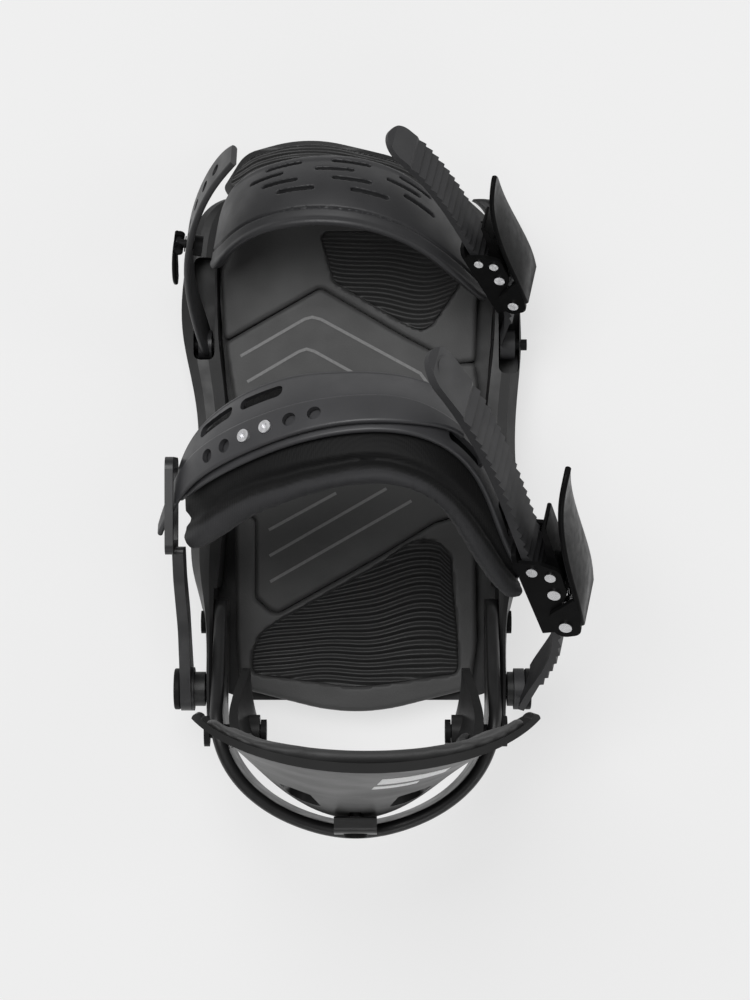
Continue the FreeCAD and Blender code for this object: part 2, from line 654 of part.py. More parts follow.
def ladder(path, tooth_span, tip_inset):
    """Toothed strip along a planar path of (x, z) points; teeth stand on its outer side."""
    curve = smooth([(x, 0, z) for x, z in path])
    length = curve.length()
    first = curve.FirstParameter

    def offset(distance, lift):
        parameter = curve.parameterAtDistance(max(0.001, min(length - 0.001, distance)), first)
        tangent = unit(curve.tangent(parameter)[0])
        return curve.value(parameter) + vec((-tangent.z, 0, tangent.x)) * lift

    inner = smooth([offset(length * i / 12, 0) for i in range(13)]).toShape()
    teeth = [offset(0, LADDER_BODY)]
    distance = tooth_span[0]
    while distance + TOOTH_PITCH < tooth_span[1]:
        teeth.append(offset(distance, LADDER_BODY))
        teeth.append(offset(distance + 0.25 * TOOTH_PITCH, LADDER_BODY + TOOTH_HEIGHT))
        distance += TOOTH_PITCH
    teeth.append(offset(distance, LADDER_BODY))
    teeth.append(offset(distance + 2, LADDER_BODY + 0.9))
    teeth.append(offset(length - 3, LADDER_BODY + 0.9))
    teeth.append(offset(length, LADDER_BODY - 0.6))
    start, end = offset(0, 0), offset(length, 0)
    outer = Part.makePolygon([end] + list(reversed(teeth)) + [start])
    face = Part.Face(Part.Wire([inner] + outer.Edges))
    half = LADDER_WIDTH / 2
    body = face.extrude(vec((0, LADDER_WIDTH, 0)))
    body.translate(vec((0, -half, 0)))

    tip = curve.value(curve.LastParameter)
    tangent = unit(curve.tangent(curve.LastParameter)[0])
    outward = vec((-tangent.z, 0, tangent.x))
    centre = tip - tangent * half
    block = Part.makeBox(half + 1, LADDER_WIDTH + 4, 24)
    block.translate(vec((0, -half - 2, -12)))
    block = block.cut(Part.makeCylinder(half, 24, vec((0, 0, -12))))
    sideways = outward.cross(tangent)
    body = body.cut(moved_to(block, tangent, sideways, outward, centre))
    if tip_inset:
        mark = Part.makeCylinder(half - 3.5, 5, vec((0, 0, LADDER_BODY + 0.5)))
        mark = mark.cut(Part.makeCylinder(half - 4.7, 5, vec((0, 0, LADDER_BODY))))
        body = body.cut(moved_to(mark, tangent, sideways, outward, centre))
    return keep_solid(body)


def ankle_ladder():
    strip = ladder([(-72, -26.5), (-50, -9.0), (-34, 0.6), (-22, 2.7), (-6, 3.0), (14, 3.0), (52, 4.0),
                    (90, 1.5), (120, -6.0)], (20.0, 176.0), True)
    strip = ANKLE_BENCH.place(strip, scaled=False)
    eye = x_rod((68.7, 73.2), STRAP_PIVOT, 9.0)
    body = fuse([strip, eye])
    clear = x_rod((40, 68.6), STRAP_PIVOT, 14.0).fuse(x_rod((73.3, 90), STRAP_PIVOT, 11.0))
    return keep_solid(cut(body, [clear, x_rod((60, 90), STRAP_PIVOT, BOLT_RADIUS + BOLT_CLEARANCE)]))


def toe_ladder():
    strip = ladder([(-55, -18.0), (-37, -2.6), (-24, 2.5), (-8, 3.0), (12, 3.0), (55, 2.6), (95, -8.0)],
                   (26.0, 142.0), False)
    strip = TOE_BENCH.place(strip)
    eye = x_rod((64.0, 70.5), TOE_PIVOT, 6.5)
    body = fuse([strip, eye])
    clear = [box((40, 63.9), (20, 46), (5, 34)), box((70.6, 90), (20, 46), (5, 34)),
             x_rod((60, 90), TOE_PIVOT, 2.5 + BOLT_CLEARANCE)]
    return keep_solid(cut(body, clear))


LEVER_PIN = (-19.0, 12.0)
PAWL_PIN = (-2.0, 11.8)
RIVETS = ((8.0, 13.2), (12.0, 6.5))
CHANNEL = 11.2               # half of the clear width between the side plates
PLATE = 2.0                  # thickness of the side plates and of the lever's cheeks


def buckle_base():
    floor = prism([(-24, -CHANNEL - PLATE, 4), (22, -CHANNEL - PLATE, 4), (22, CHANNEL + PLATE, 4),
                   (-24, CHANNEL + PLATE, 4)], 0.0, 2.0)
    corners = [(-24, 0, 0.3), (-24, 10, 3), (-22.5, 16.4, 3.5), (-15.5, 16.4, 2.5), (-8, 12.5, 4),
               (-3.5, 17, 4), (10, 18, 4.5), (15, 11, 3), (18, 0, 0.3)]
    plates = [profile_y(corners, low, low + PLATE) for low in (-CHANNEL - PLATE, CHANNEL)]
    body = fuse([floor] + plates)
    tools = [y_rod(pin, BOLT_RADIUS / 1.5 + 0.1, 30) for pin in (LEVER_PIN, PAWL_PIN)]
    tools += [y_rod(pin, 1.6, 30) for pin in RIVETS]
    return keep_solid(cut(body, tools))


def y_span(pin, radius, start, end):
    """Cylinder along y from start to end, at an (x, z) pin."""
    return rod((pin[0], start, pin[1]), (pin[0], end, pin[1]), radius)


def y_rod(pin, radius, half):
    """Cylinder along y, centred across the buckle, at an (x, z) pin."""
    return y_span(pin, radius, -half, half)


def buckle_lever():
    """Cam lever: a tapered, flared plate with two outer cheeks that turn on the main pin."""
    half = CHANNEL + 2 * PLATE + 0.2
    stations = [(-21, half, 18.0), (-8, half, 20.0), (8, half - 0.5, 21.4), (26, half - 2.5, 23.4),
                (42, half - 5.5, 27.2), (53, half - 8.5, 32.0)]
    rears = [(x, -y, z) for x, y, z in stations]
    across = tapered(0.0, 1.0, 0.9, 0.35, 0.16)
    plate = Wrap(stations, rears, crown=1.6).strip((0.0, 1.0), across, (-1.2, 1.3), stations=10)
    cheeks = []
    for low in (-half, half - PLATE):
        cheeks.append(profile_y([(-25.5, 6.2, 5), (-25.0, 17.0, 4), (-19.0, 18.6, 2), (-4, 20.8, 1),
                                 (-12.2, 6.0, 5)], low, low + PLATE))
    body = fuse([plate] + cheeks)
    return keep_solid(body.cut(y_rod(LEVER_PIN, 2.1, 30)))


def buckle_release():
    """Holding pawl with a finger tab; its tooth sits just above the ladder's teeth."""
    body = profile_y([(-5.8, 13.6, 2.5), (-3.0, 7.6, 2.0), (3.5, 9.2, 2), (7.2, 7.6, 0.4),
                      (9.0, 8.2, 0.6), (12, 12.0, 3), (30, 15.0, 1.0), (30, 16.8, 0.8),
                      (8, 16.0, 3), (-2, 15.8, 3)], -7.5, 7.5)
    return keep_solid(body.cut(y_rod(PAWL_PIN, 2.1, 30)))


def buckle_pins(cap):
    """Main pin, pawl pin and the rivets of both side plates; cap is how far their heads stand out."""
    pins = []
    for pin in (LEVER_PIN, PAWL_PIN):
        reach = CHANNEL + PLATE + (PLATE + 0.3 if pin == LEVER_PIN else 0.0)
        shaft = y_rod(pin, 2.0, reach + 0.2)
        heads = [y_span(pin, 2.7, side * (reach + 0.05), side * (reach + cap)) for side in SIDES]
        pins.append(fuse([shaft] + heads))
    face = CHANNEL + PLATE
    for pin in RIVETS:
        for side in SIDES:
            shaft = y_span(pin, 1.5, side * (CHANNEL + 0.2), side * (face + 0.3))
            head = y_span(pin, 2.3, side * (face + 0.02), side * (face + cap))
            pins.append(fuse([shaft, head]))
    return Part.makeCompound(pins)


def buckle_springs():
    """Torsion springs on both pins, as close-wound rings with one leg each."""
    coils = []
    for (x, z), near in ((LEVER_PIN, 1.0), (PAWL_PIN, -10.4)):
        centres = [vec((x, near + 1.05 * i, z)) for i in range(3)]
        rings = [Part.makeTorus(3.0, 0.55, centre, vec((0, 1, 0))) for centre in centres]
        leg = rod((x + 3.0, near, z), (x + 7.5, near, z + 1.0), 0.5)
        coils.append(fuse(rings + [leg]))
    return Part.makeCompound(coils)


# ---- ankle strap --------------------------------------------------------------------------
ANKLE = Wrap(
    [(-77, -37, 86), (-65, -9, 101), (-49, 4, 114), (-28, 12.5, 124), (0, 14.5, 129), (26, 11, 127),
     (46, -1.6, 118), (60, -24, 108), (69, -48, 97), (75, -66, 84)],
    [(-78, -62, 93), (-60, -49, 116), (-42, -42, 134), (-20, -34, 149), (4, -29, 157), (27, -32, 155),
     (42, -45, 142), (51, -60, 127), (62, -76, 108), (71, -88, 91)], crown=8.0)
PAD_LIFT = (-7.0, -0.7)
FRAME_LIFT = (0.2, 2.8)
BAND_LIFT = (3.6, 6.0)
BAND_CENTRE = 0.49           # where the hole band runs across the strap
BAND_HALF = 0.13
BAND_HOLES = tuple(0.216 + 0.039 * i for i in range(6))
BAND_SCREWS = (2, 3)         # which holes of the band hold its screws
# openings of the frame: along, across, length, width, corner radius
FRAME_WINDOWS = ((0.215, 0.15, 20, 6, 2.5), (0.31, 0.15, 20, 6, 2.5), (0.66, 0.16, 24, 6.5, 3),
                 (0.64, 0.53, 22, 5.5, 2.5), (0.80, 0.48, 20, 6.5, 3))


def ankle_arm():
    """Left strap arm from the pivot eye up to the loop that holds the strap."""
    arm = side_prism([(-128, 38, 6), (-128, 54, 8), (-112, 60, 30), (-92, 70, 30), (-70, 96, 20),
                      (-56, 104, 2), (-56, 86, 2), (-68, 78, 16), (-84, 58, 30), (-104, 42, 30),
                      (-112, 35, 8)], -76.2, -71.6)
    loop = side_prism([(-59, 80, 4), (-59, 111.5, 4), (-18.5, 112, 5), (-18.5, 78, 5)], -78.6, -75.2)
    opening = side_prism([(-54.5, 84.5, 2), (-54.5, 107, 2), (-23, 107.5, 2), (-23, 82.5, 2)], -90.0, -60.0)
    body = fuse([arm, loop])
    eye = x_rod((-76.4, -70.6), STRAP_PIVOT, 9.5)
    body = fuse([body, eye])
    return keep_solid(cut(body, [opening, x_rod((-90, -60), STRAP_PIVOT, BOLT_RADIUS + BOLT_CLEARANCE)]))


def pivot_bolts():
    """Bolts of both ankle strap pivots, with their nuts let into the heelcup."""
    bolts = []
    for side, outer in ((-1, 76.6), (1, 73.5)):
        head = x_rod((side * outer, side * (outer + 2.8)), STRAP_PIVOT, 9.0)
        head = softened(head, 0.8, lambda edge: True)
        shaft = x_rod((side * 57.0, side * (outer + 0.5)), STRAP_PIVOT, BOLT_RADIUS)
        nut = x_rod((side * 56.4, side * 58.9), STRAP_PIVOT, 5.6)
        socket = x_rod((side * (outer + 1.4), side * (outer + 5)), STRAP_PIVOT, 3.0)
        bolts.append(fuse([head, shaft, nut]).cut(socket))
    return Part.makeCompound(bolts)


def pivot_bushes():
    bushes = []
    for side, outer in ((-1, 70.5), (1, 68.5)):
        bush = x_rod((side * 65.9, side * outer), STRAP_PIVOT, 7.5)
        bushes.append(bush.cut(x_rod((side * 60, side * 80), STRAP_PIVOT, BOLT_RADIUS + 0.12)))
    return Part.makeCompound(bushes)


def ankle_pad():
    return ANKLE.strip((0.07, 0.965), tapered(0.0, 1.0, 0.7, 0.6, 0.12), PAD_LIFT, stations=13)


def ankle_frame():
    """Stiff outer frame over the front two thirds of the pad, with openings at both ends."""
    body = ANKLE.strip((0.085, 0.94), tapered(0.015, 0.66, 0.62, 0.55, 0.14), FRAME_LIFT, stations=12)
    tools = [ANKLE.window(*window) for window in FRAME_WINDOWS]
    for index in BAND_SCREWS:
        tools.append(ANKLE.hole(BAND_HOLES[index], BAND_CENTRE, 2.2, (-2.0, 8.0)))
    return keep_solid(cut(body, tools))


def ankle_hole_band():
    """Adjustment band with a row of holes, screwed to the frame and threaded through the loop."""
    across = tapered(BAND_CENTRE - BAND_HALF, BAND_CENTRE + BAND_HALF, 0.85, 0.35, 0.2)
    body = ANKLE.strip((0.0, 0.62), across, BAND_LIFT, stations=11)
    tools = [ANKLE.hole(along, BAND_CENTRE, 2.9, (0.0, 14.0)) for along in BAND_HOLES]
    return keep_solid(cut(body, tools))


def band_screws():
    screws = []
    for index in BAND_SCREWS:
        along = BAND_HOLES[index]
        head = ANKLE.hole(along, BAND_CENTRE, 2.7, (3.8, 6.8))
        shaft = ANKLE.hole(along, BAND_CENTRE, 2.0, (0.5, 4.2))
        drive = ANKLE.hole(along, BAND_CENTRE, 1.2, (5.6, 8.0))
        screws.append(fuse([head, shaft]).cut(drive))
    return Part.makeCompound(screws)


# ---- toe strap ----------------------------------------------------------------------------
TOE = Wrap(
    [(-60, 92, 30), (-47, 105.5, 48), (-31, 110.5, 56), (-12, 112.5, 60), (8, 109.5, 60), (28, 100, 55),
     (44, 84, 48), (56, 68, 39)],
    [(-66, 58, 40), (-54, 72, 60), (-37, 79.5, 74), (-13, 81.5, 81), (10, 78, 80), (30, 69.5, 73),
     (45, 59, 61), (57, 46, 45)], crown=4.0)
TOE_LIFT = (-3.6, 0.0)
CAP_SLOT_ROWS = ((0.12, 3, 0.30), (0.27, 3, 0.26), (0.42, 3, 0.31), (0.57, 2, 0.36))
CAP_SLOT_STEP = 0.19
TOE_BAND = Wrap(
    [(-66.5, 43, 14), (-71.5, 60, 40), (-71, 79, 62), (-63, 99, 84), (-50, 112, 104)],
    [(-66.5, 24, 24), (-71.5, 45, 50), (-72, 64, 73), (-64, 86, 95), (-50, 100, 116)])
TOE_BAND_HOLES = (0.62, 0.71, 0.80, 0.89)
ADJUST_ALONG = 0.53          # where the adjuster's stud goes through the toe band
ADJUST_LIFT = 4.6            # how far its cross pin stands off the band's middle


def toe_cap():
    """Perforated cap over the toe of the boot."""
    body = TOE.strip((0.0, 1.0), tapered(0.0, 1.0, 0.45, 0.5, 0.16), TOE_LIFT, stations=8)
    slots = []
    for across, count, first in CAP_SLOT_ROWS:
        for i in range(count):
            slots.append(TOE.window(first + i * CAP_SLOT_STEP, across, 17.0, 2.0, 0.99))
    return keep_solid(cut(body, slots))


def toe_hole_band():
    """Adjustment band that rises from the left rail, with four holes and a squared tip."""
    body = TOE_BAND.strip((0.0, 1.0), tapered(0.0, 1.0, 0.62, 0.75, 0.12), (-1.4, 1.4), stations=9)
    eye = x_rod((-70.4, -64.6), TOE_PIVOT, 6.5)
    body = fuse([body, eye])
    tools = [TOE_BAND.hole(along, 0.5, 2.6, (-6, 6)) for along in TOE_BAND_HOLES]
    tools.append(x_rod((-80, -60), TOE_PIVOT, 2.5 + BOLT_CLEARANCE))
    tools.append(TOE_BAND.hole(ADJUST_ALONG, 0.5, 2.0, (-6, 6)))
    return keep_solid(cut(body, tools))


def across_toe_band(radius, near, far):
    """Cylinder across the toe band, on the flip lever's pivot line."""
    centre = TOE_BAND.place(ADJUST_ALONG, 0.5, ADJUST_LIFT)
    side = unit(TOE_BAND.span(ADJUST_ALONG))
    return rod(centre + side * near, centre + side * far, radius)


def toe_adjust_stud():
    """Stud of the tool-less adjuster: an inner flange, a collar and a cross pin for the flip lever."""
    shaft = TOE_BAND.hole(ADJUST_ALONG, 0.5, 1.9, (-5.5, ADJUST_LIFT))
    flange = TOE_BAND.hole(ADJUST_ALONG, 0.5, 4.5, (-5.6, -1.9))
    collar = TOE_BAND.hole(ADJUST_ALONG, 0.5, 3.4, (1.6, 2.1))
    return fuse([shaft, flange, collar, across_toe_band(1.3, -5.0, 5.0)])


def toe_adjust_lever():
    """Flip lever outside the toe band, forked around the stud and turning on its cross pin."""
    lift = (ADJUST_LIFT + 0.3, ADJUST_LIFT + 2.3)
    body = TOE_BAND.strip((0.36, ADJUST_ALONG + 0.02), tapered(0.22, 0.78, 0.6, 0.85, 0.25), lift, stations=7)
    knuckles = [across_toe_band(2.2, near, far) for near, far in ((-5.0, -2.3), (2.3, 5.0))]
    body = fuse([body] + knuckles)
    fork = [TOE_BAND.hole(ADJUST_ALONG + shift, 0.5, 2.3, (0.0, 12.0)) for shift in (0.0, 0.015, 0.03)]
    return keep_solid(cut(body, fork + [across_toe_band(1.3 + BOLT_CLEARANCE, -9.0, 9.0)]))


def toe_anchor_pins():
    pins = []
    for side in SIDES:
        shaft = x_rod((side * 60.6, side * 76.0), TOE_PIVOT, 2.5)
        pins.append(shaft)
    return Part.makeCompound(pins)


# ---- output -------------------------------------------------------------------------------
def buckle(bench, name, cap=0.9):
    return {
        name + "_base": bench.place(buckle_base()),
        name + "_lever": bench.place(buckle_lever()),
        name + "_release": bench.place(buckle_release()),
        name + "_pins": bench.place(buckle_pins(cap)),
        name + "_springs": bench.place(buckle_springs()),
    }


def build():
    parts = {
        "baseplate": baseplate(),
        "underpad_toe": underpad_toe(),
        "underpad_heel": underpad_heel(),
        "mounting_disc": mounting_disc(),
        "footbed_toe": footbed_toe(),
        "toe_grip_pad": grip_insert(toe_insert_outline),
        "disc_cover": disc_cover(),
        "footbed_heel": footbed_heel(),
        "heel_grip_pad": grip_insert(heel_insert_outline),
        "toe_ramp": toe_ramp(),
        "toe_ramp_pad": toe_ramp_pad(),
        "ramp_screws": ramp_screws(),
        "heelcup": heelcup(),
        "heelcup_screws": cup_screws(),
        "heelcup_nuts": cup_nuts(),
        "highback": highback(),
        "highback_pad": highback_pad(),
        "highback_pivots": highback_pivots(),
        "lean_block": lean_block(),
        "lean_screw": lean_screw(),
        "ankle_arm": ankle_arm(),
        "ankle_pivot_bolts": pivot_bolts(),
        "ankle_bushes": pivot_bushes(),
        "ankle_pad": ankle_pad(),
        "ankle_frame": ankle_frame(),
        "ankle_hole_band": ankle_hole_band(),
        "ankle_band_screws": band_screws(),
        "ankle_ladder": ankle_ladder(),
        "toe_cap": toe_cap(),
        "toe_hole_band": toe_hole_band(),
        "toe_adjust_stud": toe_adjust_stud(),
        "toe_adjust_lever": toe_adjust_lever(),
        "toe_anchor_pins": toe_anchor_pins(),
        "toe_ladder": toe_ladder(),
    }
    parts.update(buckle(ANKLE_BENCH, "ankle_buckle"))
    parts.update(buckle(TOE_BENCH, "toe_buckle"))
    return parts


os.makedirs("parts", exist_ok=True)
for name, shape in build().items():
    shape.exportStep("parts/" + name + ".step")
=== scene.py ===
import json
import math

import bmesh
import bpy
import numpy as np
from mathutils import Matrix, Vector
from mathutils.bvhtree import BVHTree


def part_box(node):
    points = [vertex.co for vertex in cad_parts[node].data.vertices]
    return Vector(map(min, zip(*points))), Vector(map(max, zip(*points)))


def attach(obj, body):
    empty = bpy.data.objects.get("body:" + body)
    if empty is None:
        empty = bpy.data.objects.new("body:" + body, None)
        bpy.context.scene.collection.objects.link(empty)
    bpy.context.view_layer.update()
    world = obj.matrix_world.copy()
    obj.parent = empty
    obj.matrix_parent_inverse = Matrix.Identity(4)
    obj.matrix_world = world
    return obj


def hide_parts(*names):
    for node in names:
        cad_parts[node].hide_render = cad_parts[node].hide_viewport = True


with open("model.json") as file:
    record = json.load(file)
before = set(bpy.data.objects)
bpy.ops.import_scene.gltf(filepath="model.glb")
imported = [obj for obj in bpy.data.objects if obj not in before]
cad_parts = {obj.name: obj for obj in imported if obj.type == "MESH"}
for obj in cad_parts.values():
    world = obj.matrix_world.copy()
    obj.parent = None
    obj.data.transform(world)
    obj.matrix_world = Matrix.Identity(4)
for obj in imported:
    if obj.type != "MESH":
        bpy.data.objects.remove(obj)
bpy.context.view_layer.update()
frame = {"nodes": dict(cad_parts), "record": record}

MM = 0.001                       # lengths named _mm are in millimetres, all others in metres
nodes = frame["nodes"]
slot_of = {part["node"]: part["material_slot"] for part in frame["record"]["subparts"]}


# ---- mesh helpers -------------------------------------------------------------------------
def add_object(name, data):
    piece = bpy.data.objects.new(name, data)
    bpy.context.scene.collection.objects.link(piece)
    return piece


def closed_mesh(name, points, faces):
    """A mesh whose faces all look outward."""
    mesh = bpy.data.meshes.new(name)
    mesh.from_pydata(points, [], faces)
    work = bmesh.new()
    work.from_mesh(mesh)
    bmesh.ops.recalc_face_normals(work, faces=work.faces)
    work.to_mesh(mesh)
    work.free()
    return mesh


def copy_of(node, name):
    """A welded copy of a CAD node's mesh, as a new object."""
    mesh = nodes[node].data.copy()
    mesh.materials.clear()
    work = bmesh.new()
    work.from_mesh(mesh)
    bmesh.ops.remove_doubles(work, verts=work.verts, dist=1e-6)
    work.to_mesh(mesh)
    work.free()
    if mesh.has_custom_normals:
        mesh.attributes.remove(mesh.attributes["custom_normal"])
    return add_object(name, mesh)


def apply_modifiers(piece):
    """Turn what the modifiers show into the piece's own mesh."""
    view = bpy.context.evaluated_depsgraph_get()
    mesh = bpy.data.meshes.new_from_object(piece.evaluated_get(view))
    piece.modifiers.clear()
    piece.data = mesh
    return piece


def remesh(piece, voxel_mm, smoothing=2):
    """Even quads all over the piece, so that its surface can be shaped."""
    modifier = piece.modifiers.new("remesh", "REMESH")
    modifier.mode = "VOXEL"
    modifier.voxel_size = voxel_mm * MM
    if smoothing:
        relax = piece.modifiers.new("relax", "SMOOTH")
        relax.iterations = smoothing
        relax.factor = 0.5
    return apply_modifiers(piece)


def subdivide(piece):
    """Split each face in four and round the surface."""
    modifier = piece.modifiers.new("subdivide", "SUBSURF")
    modifier.levels = 1
    return apply_modifiers(piece)


def points_of(mesh):
    points = np.zeros(len(mesh.vertices) * 3)
    mesh.vertices.foreach_get("co", points)
    return points.reshape(-1, 3)


def normals_of(mesh):
    normals = np.zeros(len(mesh.vertices) * 3)
    mesh.vertex_normals.foreach_get("vector", normals)
    return normals.reshape(-1, 3)


def move_points(mesh, points):
    mesh.vertices.foreach_set("co", points.ravel())
    mesh.update()


def smooth_faces(mesh, sharp_degrees):
    """Shade the mesh smoothly, except at edges that turn by more than sharp_degrees."""
    mesh.polygons.foreach_set("use_smooth", [True] * len(mesh.polygons))
    mesh.set_sharp_from_angle(angle=math.radians(sharp_degrees))


def bump_curve(value, centre, half_width):
    """1 at centre, falling smoothly to 0 at half_width away."""
    distance = np.clip(np.abs(value - centre) / half_width, 0, 1)
    return 0.5 + 0.5 * np.cos(math.pi * distance)


def step_curve(value, start, end):
    """0 up to start, rising smoothly to 1 at end."""
    share = np.clip((value - start) / (end - start), 0, 1)
    return share * share * (3 - 2 * share)


def place_piece(piece, body, material, node=None):
    """Finish a piece: its material, the body it moves with and the CAD node it stands for."""
    piece.data.materials.clear()
    piece.data.materials.append(material)
    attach(piece, body)
    if node:
        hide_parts(node)
    return piece


# ---- materials ----------------------------------------------------------------------------
class Shader:
    """A node material around one Principled shader, with object coordinates in metres."""

    def __init__(self, name, color, roughness, metallic=0.0):
        self.material = bpy.data.materials.new(name)
        self.material.use_nodes = True
        self.tree = self.material.node_tree
        self.principled = self.tree.nodes["Principled BSDF"]
        self.place = self.add("ShaderNodeTexCoord").outputs["Object"]
        self.color = self.add("ShaderNodeRGB").outputs[0]
        self.color.default_value = (*color, 1)
        self.principled.inputs["Roughness"].default_value = roughness
        self.principled.inputs["Metallic"].default_value = metallic
        self.roughness = roughness
        self.height = None

    def add(self, kind, **settings):
        node = self.tree.nodes.new(kind)
        for key, value in settings.items():
            setattr(node, key, value)
        return node

    def link(self, output, target):
        self.tree.links.new(output, target)

    def noise(self, feature_mm, detail=3.0, stretch=(1, 1, 1)):
        """Noise between 0 and 1 whose blobs are about feature_mm across."""
        mapping = self.add("ShaderNodeMapping")
        mapping.inputs["Scale"].default_value = stretch
        self.link(self.place, mapping.inputs["Vector"])
        texture = self.add("ShaderNodeTexNoise")
        texture.inputs["Scale"].default_value = 1000.0 / feature_mm
        texture.inputs["Detail"].default_value = detail
        self.link(mapping.outputs["Vector"], texture.inputs["Vector"])
        return texture.outputs["Fac"]

    def pores(self, feature_mm):
        """Cells about feature_mm across, each 0 at its middle."""
        texture = self.add("ShaderNodeTexVoronoi")
        texture.inputs["Scale"].default_value = 1000.0 / feature_mm
        self.link(self.place, texture.inputs["Vector"])
        return texture.outputs["Distance"]

    def spread(self, value, low, high):
        """Noise mostly lies between 0.3 and 0.7: stretch that range to low and high."""
        node = self.add("ShaderNodeMapRange")
        node.inputs["From Min"].default_value = 0.3
        node.inputs["From Max"].default_value = 0.7
        node.inputs["To Min"].default_value = low
        node.inputs["To Max"].default_value = high
        self.link(value, node.inputs["Value"])
        return node.outputs["Result"]

    def mottle(self, feature_mm, amount):
        """Slow variation of brightness, as in moulded material that has been handled."""
        vary = self.add("ShaderNodeHueSaturation")
        self.link(self.spread(self.noise(feature_mm), 1 - amount, 1 + amount), vary.inputs["Value"])
        self.link(self.color, vary.inputs["Color"])
        self.color = vary.outputs["Color"]
        return self

    def other_color(self, color, attribute):
        """Turn to a second colour where a float attribute of the mesh goes from 0 to 1."""
        share = self.add("ShaderNodeAttribute", attribute_name=attribute).outputs["Fac"]
        mix = self.add("ShaderNodeMixRGB")
        self.link(share, mix.inputs["Fac"])
        self.link(self.color, mix.inputs["Color1"])
        mix.inputs["Color2"].default_value = (*color, 1)
        self.color = mix.outputs["Color"]
        return self

    def relief(self, value, depth_mm):
        """Add one layer of bump."""
        bump = self.add("ShaderNodeBump")
        bump.inputs["Distance"].default_value = depth_mm * MM
        bump.inputs["Strength"].default_value = 1.0
        self.link(value, bump.inputs["Height"])
        if self.height:
            self.link(self.height, bump.inputs["Normal"])
        self.height = bump.outputs["Normal"]
        return self

    def uneven_gloss(self, feature_mm, amount):
        """Slow variation of roughness around its mean."""
        low, high = self.roughness - amount, self.roughness + amount
        self.link(self.spread(self.noise(feature_mm), low, high), self.principled.inputs["Roughness"])
        return self

    def specular(self, level):
        self.principled.inputs["Specular IOR Level"].default_value = level
        return self

    def sheen(self, weight):
        self.principled.inputs["Sheen Weight"].default_value = weight
        self.principled.inputs["Sheen Roughness"].default_value = 0.4
        return self

    def done(self):
        self.link(self.color, self.principled.inputs["Base Color"])
        if self.height:
            self.link(self.height, self.principled.inputs["Normal"])
        return self.material


def grey(value, blue=1.03):
    """A neutral colour, with a touch more or less blue."""
    return (value, value, value * blue)


def moulded_nylon(name, value, roughness=0.5):
    """Glass-filled nylon: a fine matt grain."""
    shader = Shader(name, grey(value), roughness)
    shader.mottle(18, 0.10).uneven_gloss(9, 0.07)
    return shader.relief(shader.noise(0.35), 0.03).relief(shader.noise(2.5), 0.02).done()


def satin_urethane(name, value, roughness=0.45):
    """Flexible strap plastic: nearly smooth, with a satin gloss."""
    shader = Shader(name, grey(value, 1.06), roughness)
    shader.mottle(25, 0.07).uneven_gloss(12, 0.07)
    return shader.relief(shader.noise(0.5, detail=4), 0.02).done()


def foam_skin(name, value, roughness=0.62):
    """Moulded foam or rubber under a closed, finely pored skin."""
    shader = Shader(name, grey(value, 1.0), roughness)
    shader.mottle(30, 0.07).uneven_gloss(14, 0.06).sheen(0.1)
    return shader.relief(shader.pores(0.9), 0.04).relief(shader.noise(6), 0.03).done()


def cell_foam(name, value):
    """Cut foam with open cells."""
    shader = Shader(name, grey(value), 0.85)
    shader.mottle(8, 0.2)
    return shader.relief(shader.pores(1.6), 0.25).relief(shader.noise(0.6), 0.08).done()


def pad_fabric(name, value, rim_and_highlight_value):
    """Tight woven lining, two crossed fine waves over soft foam, with a lighter rim: partly the moulded
    rim's own tone, partly a painted highlight.
    """
    shader = Shader(name, grey(value, 1.04), 0.7).specular(0.3)
    # the rim colour is partly the rim's own tone and partly a painted highlight of the rolled rim
    shader.other_color(grey(rim_and_highlight_value, 1.06), "rim").mottle(20, 0.10).sheen(0.05)
    for direction in ("X", "Z"):
        wave = shader.add("ShaderNodeTexWave", bands_direction=direction)
        wave.inputs["Scale"].default_value = 420.0
        wave.inputs["Distortion"].default_value = 0.6
        shader.link(shader.place, wave.inputs["Vector"])
        shader.relief(wave.outputs["Fac"], 0.04)
    return shader.done()


def gloss_shell(name, value):
    """Injection-moulded shell: glossy, with slow waves."""
    shader = Shader(name, grey(value, 1.0), 0.36).specular(0.09)
    shader.mottle(45, 0.10).uneven_gloss(30, 0.06)
    return shader.relief(shader.noise(14), 0.06).relief(shader.noise(0.5), 0.008).done()


def black_metal(name, value, roughness=0.34):
    """Black coated metal: a dark satin coat with small variations of gloss."""
    shader = Shader(name, grey(value), roughness).specular(0.05)
    shader.mottle(6, 0.12).uneven_gloss(4, 0.07)
    return shader.relief(shader.noise(0.3), 0.01).done()


def bare_steel(name, value=0.78, roughness=0.24):
    """Bright steel with short brushed marks."""
    shader = Shader(name, grey(value, 1.02), roughness, metallic=1.0)
    shader.mottle(3, 0.06).uneven_gloss(1.5, 0.08)
    return shader.relief(shader.noise(1.2, stretch=(1, 14, 1)), 0.01).done()


def printed_ink(name, value):
    """Ink print with a slightly broken surface."""
    shader = Shader(name, grey(value, 1.0), 0.55)
    shader.mottle(1.2, 0.12)
    return shader.relief(shader.noise(0.4), 0.01).done()


